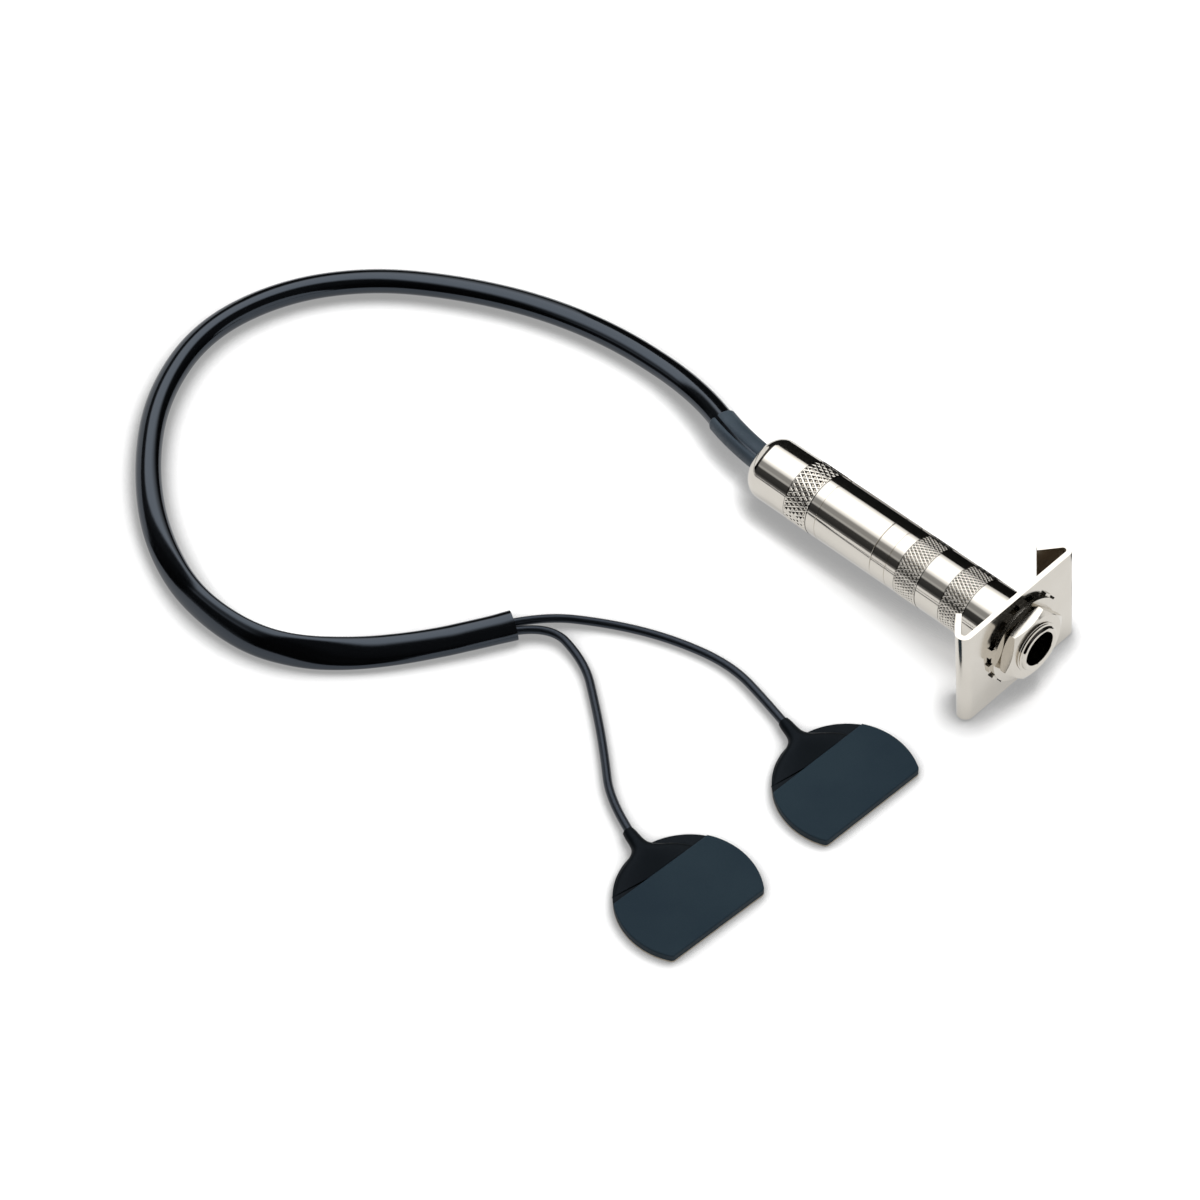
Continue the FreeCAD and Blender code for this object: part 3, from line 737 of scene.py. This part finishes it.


# Control points in millimetres, given along the cords
SLEEVE_POINTS: tuple[Point, ...] = (
    (-54.1, 41.6, 2.6), (-70.6, 40.9, 1.9), (-86.6, 36.5, 2.0), (-101.2, 28.9, 2.0),
    (-114.3, 18.9, 2.0), (-123.5, 5.4, 2.0), (-126.8, -10.8, 2.0), (-121.4, -26.7, 2.2),
    (-110.8, -39.3, 2.2), (-97.3, -49.0, 2.0), (-81.4, -54.3, 1.8), (-64.6, -51.5, 1.7),
    (-52.7, -39.4, 1.7), (-43.8, -25.6, 1.7), (-40.0, -18.2, 1.7),
)
RIGHT_LEAD: tuple[Point, ...] = (
    (-42.58, -21.37, 1.7), (-38.59, -13.59, 1.7), (-28.9, -5.6, 0.85), (-18.9, -0.5, 0.85),
    (-7.9, 2.5, 0.85), (1.985, 0.922, 1.145), (12.745, -1.365, 1.145),
)
LEFT_LEAD: tuple[Point, ...] = (
    (-41.07, -22.15, 1.7), (-36.62, -13.47, 1.7), (-26.2, -14.7, 0.85), (-18.6, -19.9, 0.85),
    (-11.3, -25.3, 0.85), (-1.324, -33.663, 1.145), (9.766, -36.304, 1.145),
)


@dataclass
class Sleeve:
    """Glossy flat sleeve over the two leads, twisted on its way and cut open at its end.

    Sizes are in millimetres, and stations are (share of the length, value) pairs.
    """

    length: float = 253.8
    diameter: float = 4.6
    inside: float = 7.4
    off_the_axis: float = 4.7
    sides: int = 40
    step: float = 1.2
    wide: Sequence[tuple[float, float]] = (
        (0.0, 4.5), (0.12, 4.6), (0.30, 4.6), (0.62, 4.6), (0.80, 5.9), (0.88, 5.8),
        (0.95, 5.4), (0.985, 5.4), (1.0, 5.6))
    thick: Sequence[tuple[float, float]] = (
        (0.0, 3.6), (0.12, 3.8), (0.30, 4.0), (0.62, 3.9), (0.80, 3.0), (0.88, 3.0),
        (0.95, 3.2), (0.985, 3.2), (1.0, 3.4))
    turned: Sequence[tuple[float, float]] = (
        (0.0, 0.0), (0.64, 0.0), (0.79, 60.0), (0.86, 56.0), (0.94, 22.0), (1.0, 16.0))
    mouth_depth: float = 4.0
    wall: float = 0.42
    # the sleeve comes down from the jack between these shares and then lies this high
    comes_down: tuple[float, float] = (0.09, 0.16)
    clear: float = 0.06
    # an ellipse has one; less makes the section a little squarer
    roundness: float = 0.95

    def section(self, share: float, angle: float) -> tuple[float, float]:
        """Oval with slightly flat faces, in metres."""
        half_w = eased(self.wide, share) / 2 * MM
        half_t = eased(self.thick, share) / 2 * MM
        c, s = math.cos(angle), math.sin(angle)
        return (half_w * math.copysign(abs(c) ** self.roundness, c),
                half_t * math.copysign(abs(s) ** self.roundness, s))

    def build(self, finish: bpy.types.Material) -> tuple[bpy.types.Object, list[Vector]]:
        """Args:
            finish: glossy tubing.

        Returns:
            The sleeve and its centre line.
        """
        start = [on_axis(REAR + self.inside) / MM, on_axis(REAR - self.off_the_axis) / MM]
        points = [tuple(p) for p in start] + list(SLEEVE_POINTS)
        line = resample(Route("sleeve", points).line(), self.step * MM)
        total = length_of(line)
        rolls, travelled = [], 0.0
        for i, point in enumerate(line):
            travelled += (point - line[i - 1]).length if i else 0.0
            share = travelled / total
            roll = math.radians(eased(self.turned, share))
            rolls.append(roll)
            reach = max(abs(x * math.sin(roll) + y * math.cos(roll)) for x, y in (
                self.section(share, 2 * math.pi * k / self.sides) for k in range(self.sides)))
            lying = reach + self.clear * MM
            leaves, lands = self.comes_down
            if share > lands:
                point.z = lying
            elif share > leaves:
                blend = (share - leaves) / (lands - leaves)
                point.z += (lying - point.z) * blend * blend
        piece = skin("cable_sleeve_tube", line, self.section, self.sides, rolls)
        self.open_mouth(piece, line)
        place_piece(piece, Slot.SLEEVE, ["cable_sleeve"], finish)
        return piece, line

    def open_mouth(self, piece: bpy.types.Object, line: Sequence[Vector]) -> None:
        """Inset the cut end to the wall's thickness and push the inside back."""
        select_only(piece)
        bpy.ops.object.mode_set(mode="EDIT")
        bpy.ops.mesh.select_all(action="DESELECT")
        bpy.ops.object.mode_set(mode="OBJECT")
        end = line[-1]
        for face in piece.data.polygons:
            face.select = len(face.vertices) > 8 and (face.center - end).length < 0.002
        back = (line[-4] - line[-1]).normalized() * self.mouth_depth * MM
        bpy.ops.object.mode_set(mode="EDIT")
        bpy.ops.mesh.select_mode(type="FACE")
        bpy.ops.mesh.inset(thickness=self.wall * MM)
        bpy.ops.mesh.extrude_region_move(TRANSFORM_OT_translate={"value": tuple(back)})
        bpy.ops.object.mode_set(mode="OBJECT")


@dataclass
class Lead:
    """Thin satin lead from the sleeve's mouth to a pad."""

    name: str
    node: str
    points: Sequence[Point]
    length: float
    radius: float = 0.775

    def build(self, finish: bpy.types.Material) -> bpy.types.Object:
        curve = Route(self.name, self.points).spline()
        curve.bevel_depth = self.radius * MM
        curve.bevel_resolution = 6
        curve.use_fill_caps = True
        piece = bpy.data.objects.new(self.name, curve)
        bpy.context.scene.collection.objects.link(piece)
        place_piece(piece, Slot.LEAD, [self.node], finish)
        return piece


@dataclass
class StrainRelief:
    """Shrunk tube over the sleeve where it leaves the jack: two ridges and a valley.

    Sizes are in millimetres, each half size with its change along the tube.
    """

    inside: float = 5.2
    outside: float = 14.0
    half_w: tuple[float, float] = (2.55, 0.08)
    half_t: tuple[float, float] = (2.06, -0.06)
    valley_depth: float = 0.45
    valley_at: float = 0.40
    valley_width: float = 0.15
    roundness: float = 0.84
    rim: float = 0.15
    sides: int = 48
    step: float = 0.6

    def section(self, share: float, angle: float) -> tuple[float, float]:
        """Two-ridged outline, in metres."""
        c, s = math.cos(angle), math.sin(angle)
        half_w = self.half_w[0] + self.half_w[1] * share
        half_t = self.half_t[0] + self.half_t[1] * share
        valley = self.valley_depth * math.exp(-((c - self.valley_at) / self.valley_width) ** 2)
        return (half_w * math.copysign(abs(c) ** self.roundness, c) * MM,
                (half_t - valley) * math.copysign(abs(s) ** self.roundness, s) * MM)

    def build(self, sleeve_line: Sequence[Vector],
              finish: bpy.types.Material) -> bpy.types.Object:
        """Skin the relief along the sleeve's own line.

        Args:
            sleeve_line: the sleeve's centre line, from inside the jack.
            finish: shrunk tubing.

        Returns:
            The relief.
        """
        skip = (Sleeve.inside - self.inside) * MM
        total = skip + (self.inside + self.outside) * MM
        kept, travelled = [], 0.0
        for a, b in zip(sleeve_line, sleeve_line[1:]):
            if skip <= travelled <= total:
                kept.append(a)
            travelled += (b - a).length
        line = resample(kept, self.step * MM)
        piece = skin("strain_relief_tube", line, self.section, self.sides, [0.0] * len(line))
        finish_modifier(piece, "BEVEL", width=self.rim * MM, segments=2, limit_method="ANGLE",
                        angle_limit=math.radians(50))
        smooth(piece, 50.0)
        place_piece(piece, Slot.RELIEF, ["strain_relief"], finish)
        return piece


# ---- the jack ----


@dataclass
class Knurl:
    """A rolled knurl: a raised net of crossing ridges with a pit in each diamond.

    Sizes are in millimetres, with start and stop along the jack's axis.
    """

    start: float
    stop: float
    around: int
    along: int
    top_r: float = 5.96
    # inset from the ridge and depth of each step down into a pit
    steps: Sequence[tuple[float, float]] = ((0.07, 0.0), (0.13, -0.06), (0.17, -0.20))

    def build(self, name: str) -> bpy.types.Object:
        """Poke and dissolve a grid into diamonds, sink them, then bend it to a ring."""
        span = (self.stop - self.start) * MM
        circle = 2 * math.pi * self.top_r * MM
        clear_selection()
        bpy.ops.mesh.primitive_grid_add(x_subdivisions=self.around, y_subdivisions=self.along,
                                        size=1.0)
        band = bpy.context.object
        band.name = name
        band.scale = (circle, span, 1.0)
        bpy.ops.object.transform_apply(scale=True)
        corners = {tuple(round(c, 7) for c in v.co) for v in band.data.vertices}
        bpy.ops.object.mode_set(mode="EDIT")
        bpy.ops.mesh.select_all(action="SELECT")
        bpy.ops.mesh.poke(offset=0.0)
        bpy.ops.mesh.select_all(action="DESELECT")
        bpy.ops.object.mode_set(mode="OBJECT")
        mesh = band.data
        at_corner = [tuple(round(c, 7) for c in v.co) in corners for v in mesh.vertices]
        half_x, half_y = circle / 2, span / 2
        for edge in mesh.edges:
            a, b = (mesh.vertices[i].co for i in edge.vertices)
            inner = all(at_corner[i] for i in edge.vertices)
            rim_x = abs(abs(a.x) - half_x) < 1e-7 and abs(abs(b.x) - half_x) < 1e-7
            rim_y = abs(abs(a.y) - half_y) < 1e-7 and abs(abs(b.y) - half_y) < 1e-7
            edge.select = inner and not rim_x and not rim_y
        bpy.ops.object.mode_set(mode="EDIT")
        bpy.ops.mesh.select_mode(type="EDGE")
        bpy.ops.mesh.dissolve_edges(use_verts=False)
        bpy.ops.mesh.select_mode(type="FACE")
        bpy.ops.mesh.select_all(action="SELECT")
        for inset, depth in self.steps:
            bpy.ops.mesh.inset(thickness=inset * MM, depth=depth * MM, use_individual=True)
        bpy.ops.mesh.select_all(action="SELECT")
        bpy.ops.transform.rotate(value=math.radians(90), orient_axis="X",
                                 center_override=(0, 0, 0))
        bpy.ops.object.mode_set(mode="OBJECT")
        outward = sum((p.normal.y * p.area for p in mesh.polygons))
        if outward > 0:
            band.data.transform(Matrix.Rotation(math.pi, 4, "Z"))
        finish_modifier(band, "SIMPLE_DEFORM", deform_method="BEND", deform_axis="Z",
                        angle=2 * math.pi)
        select_only(band)
        bpy.ops.object.mode_set(mode="EDIT")
        bpy.ops.mesh.select_all(action="SELECT")
        bpy.ops.mesh.remove_doubles(threshold=2e-6)
        bpy.ops.object.mode_set(mode="OBJECT")
        low = Vector([min(v.co[i] for v in mesh.vertices) for i in range(3)])
        high = Vector([max(v.co[i] for v in mesh.vertices) for i in range(3)])
        middle = (low + high) / 2
        shift = Vector((-middle.x, -middle.y, (self.start + self.stop) / 2 * MM - middle.z))
        band.data.transform(Matrix.Translation(shift))
        return band


@dataclass
class Barrel:
    """Both turned halves of the barrel with their knurled bands and fine grooves.

    Sizes are in millimetres, and places along the axis are counted from the seam.
    """

    radius: float = 5.9
    under: float = 5.58
    groove_depth: float = 0.12
    spigot_length: float = 5.0
    spigot_r: float = 5.3
    bore_r: float = 4.78
    front_bands: Sequence[tuple[float, float]] = ((5.7, 10.5), (16.0, 20.9))
    front_groove: float = 3.4
    front_end: float = -1.0
    rear_band: tuple[float, float] = (-20.3, -15.2)
    rear_groove: float = -13.0
    rear_bend: float = 3.0
    rear_wall: float = 4.0
    cable_hole_r: float = 2.85
    chamber_r: float = 4.9
    fine_r: float = 5.94
    fine: Sequence[tuple[float, float]] = ((0.05, 0.0), (0.09, -0.04), (0.12, -0.12))

    def groove(self, a: float) -> list[tuple[float, float]]:
        """Corners of a fine turned groove, from the rear forwards."""
        floor = self.radius - self.groove_depth
        return [(a - 0.17, self.radius), (a - 0.1, floor), (a + 0.1, floor),
                (a + 0.17, self.radius)]

    def under_band(self, a0: float, a1: float) -> list[tuple[float, float]]:
        """Corners of the shallow seat under a knurled band."""
        return [(a0 - 0.12, self.radius), (a0 + 0.02, self.under), (a1 - 0.02, self.under),
                (a1 + 0.12, self.radius)]

    def front(self, finish: bpy.types.Material) -> None:
        """Turn the front half and roll its two bands."""
        end = self.front_end
        back = SEAM - self.spigot_length
        bands = [(SEAM + start, SEAM + stop) for start, stop in self.front_bands]
        outline = [(back, self.bore_r), (back, self.spigot_r), (SEAM + 0.02, self.spigot_r),
                   (SEAM + 0.02, self.radius - 0.14), (SEAM + 0.12, self.radius)]
        outline += self.groove(SEAM + self.front_groove)
        for a0, a1 in bands:
            outline += self.under_band(a0, a1)
        outline += [(end - 0.3, self.radius), (end - 0.08, self.radius - 0.07),
                    (end, self.radius - 0.28), (end, self.bore_r)]
        piece = turn_profile("front_barrel_turned", outline)
        self.join(piece, [Knurl(a0, a1, 54, 4, self.fine_r, self.fine).build("band")
                          for a0, a1 in bands])
        place_piece(piece, Slot.NICKEL, ["front_barrel"], finish)

    def rear(self, finish: bpy.types.Material) -> None:
        """Turn the rear half, its rounded end and its band."""
        a0, a1 = (SEAM + place for place in self.rear_band)
        bend = self.rear_bend
        socket = self.spigot_r + 0.02
        inner_end = REAR + self.rear_wall
        outline = [(inner_end, self.cable_hole_r), (REAR, self.cable_hole_r)]
        outline += rounded((REAR + bend, self.radius - bend), bend, 180.0, 90.0, 14)
        outline += self.under_band(a0, a1)
        outline += self.groove(SEAM + self.rear_groove)
        outline += [(SEAM - 0.12, self.radius), (SEAM - 0.02, self.radius - 0.14),
                    (SEAM - 0.02, socket), (SEAM - self.spigot_length, socket),
                    (SEAM - self.spigot_length, self.chamber_r), (inner_end, self.chamber_r)]
        piece = turn_profile("rear_handle_turned", outline)
        self.join(piece, [Knurl(a0, a1, 38, 3).build("band")])
        place_piece(piece, Slot.NICKEL, ["rear_handle"], finish)

    def join(self, piece: bpy.types.Object, bands: Sequence[bpy.types.Object]) -> None:
        """Join the bands to their half and lay it on the jack's axis."""
        smooth(piece, 30.0)
        for band in bands:
            smooth(band, 20.0)
        select_only(piece)
        for band in bands:
            band.select_set(True)
        bpy.ops.object.join()
        settle(piece, jack_place())


@dataclass
class Nose:
    """The threaded bushing, with its last thread and rounded lip in front of the nut."""

    thread_r: float = 4.76
    root_r: float = 4.42
    last_r: float = 4.66
    neck_r: float = 4.34
    bore_r: float = 3.3
    back: float = -9.2
    nut_end: float = 3.4

    def build(self, finish: bpy.types.Material) -> None:
        """Turn the bushing with its bore and the thread that shows."""
        nut = self.nut_end
        outline = [(self.back, self.bore_r), (self.back, self.thread_r)]
        outline += [(nut - 0.1, self.thread_r), (nut + 0.08, self.thread_r),
                    (nut + 0.26, self.root_r), (nut + 0.42, self.last_r),
                    (nut + 0.52, self.neck_r)]
        outline += rounded((MOUTH - 0.30, 3.86), 0.42, 78.0, -20.0, 10)
        outline += rounded((MOUTH - 0.28, 3.58), 0.28, -60.0, -90.0, 3)
        outline += [(MOUTH - 0.6, self.bore_r)]
        piece = turn_profile("bushing_turned", outline)
        smooth(piece, 28.0)
        settle(piece, jack_place())
        place_piece(piece, Slot.NICKEL, ["threaded_bushing"], finish)


def main() -> None:
    """Build the studio, the cords, the jack and the pads, and report each piece."""
    logging.basicConfig(level=logging.INFO, format="%(name)s: %(message)s")
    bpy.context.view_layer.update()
    Studio().build()
    # bright nickel: clear, slightly warm mirror images with a faint haze from handling
    nickel = NickelPlate().material()
    # plated sheet is less polished, so its mirror images are softer
    sheet = NickelPlate(name="nickel_plated_sheet", roughness=0.13, haze=0.06).material()
    # soft vinyl: deep black with sharp, bluish highlights
    gloss = TubePlastic("glossy_vinyl_tubing", "#040405", "#060708", 0.09, 0.05,
                        ior=1.7, tint="#D2E2F6", patch_mm=20.0, bump_mm=0.01, bump=0.1).material()
    # shrunk polyolefin: slate grey, finely wrinkled, so it is dull
    shrunk = TubePlastic("shrunk_polyolefin_tubing", "#303A42", "#3C464E", 0.42, 0.15, ior=1.45,
                         tint="#DCE6FA", grain_mm=0.5, bump_mm=0.04, bump=0.6).material()
    # extruded jacket: nearly black with one soft highlight
    satin = TubePlastic("satin_vinyl_jacket", "#07080A", "#0B0D0F", 0.30, 0.10,
                        ior=1.6, tint="#D5E6FF").material()
    # matt film: an even blue-black that mirrors nothing
    film = TubePlastic("matt_pad_film", "#1B2A34", "#202F38", 0.60, 0.12, ior=1.3,
                       grain_mm=0.25, bump_mm=0.02, bump=0.35).material()
    # moulded rubber: darker than the film, with a faint sheen on its slopes
    boot = TubePlastic("moulded_rubber_boot", "#05080A", "#080C0E", 0.32, 0.10,
                       ior=1.2, tint="#D5E6FF").material()
    # the pads' pale lower layer and the pieces inside, plain moulded or rolled stock
    cream = TubePlastic("pale_contact_layer", "#D9CFBD", "#CDC2AE", 0.6, 0.1).material()
    dark = TubePlastic("black_moulded_insulator", "#121212", "#1A1A1A", 0.4, 0.1).material()
    spring = BareMetal("spring_strip", "#D9C9A0").material()
    brass = BareMetal("disc_sheet", "#D8B36A").material()
    copper = BareMetal("bare_copper", "#C77E56").material()
    ceramic = TubePlastic("silvered_ceramic", "#D8D5CC", "#C9C6BD", 0.45, 0.1).material()

    _, sleeve_line = Sleeve().build(gloss)
    Lead("lead_tube_right", "lead_right", RIGHT_LEAD, 64.6).build(satin)
    Lead("lead_tube_left", "lead_left", LEFT_LEAD, 61.5).build(satin)
    StrainRelief().build(sleeve_line, shrunk)
    barrel = Barrel()
    barrel.front(nickel)
    barrel.rear(nickel)
    Nose().build(nickel)
    finishes = {Slot.INSULATOR: dark, Slot.CONTACT: spring, Slot.COPPER: copper,
                Slot.NICKEL: sheet, Slot.BRASS: brass, Slot.CERAMIC: ceramic,
                Slot.BASE: cream, Slot.COVER: film, Slot.BOOT: boot}
    for node, slot in NODE_SLOTS.items():
        dress_node(node, finishes[slot])


if __name__ == "__main__":
    main()
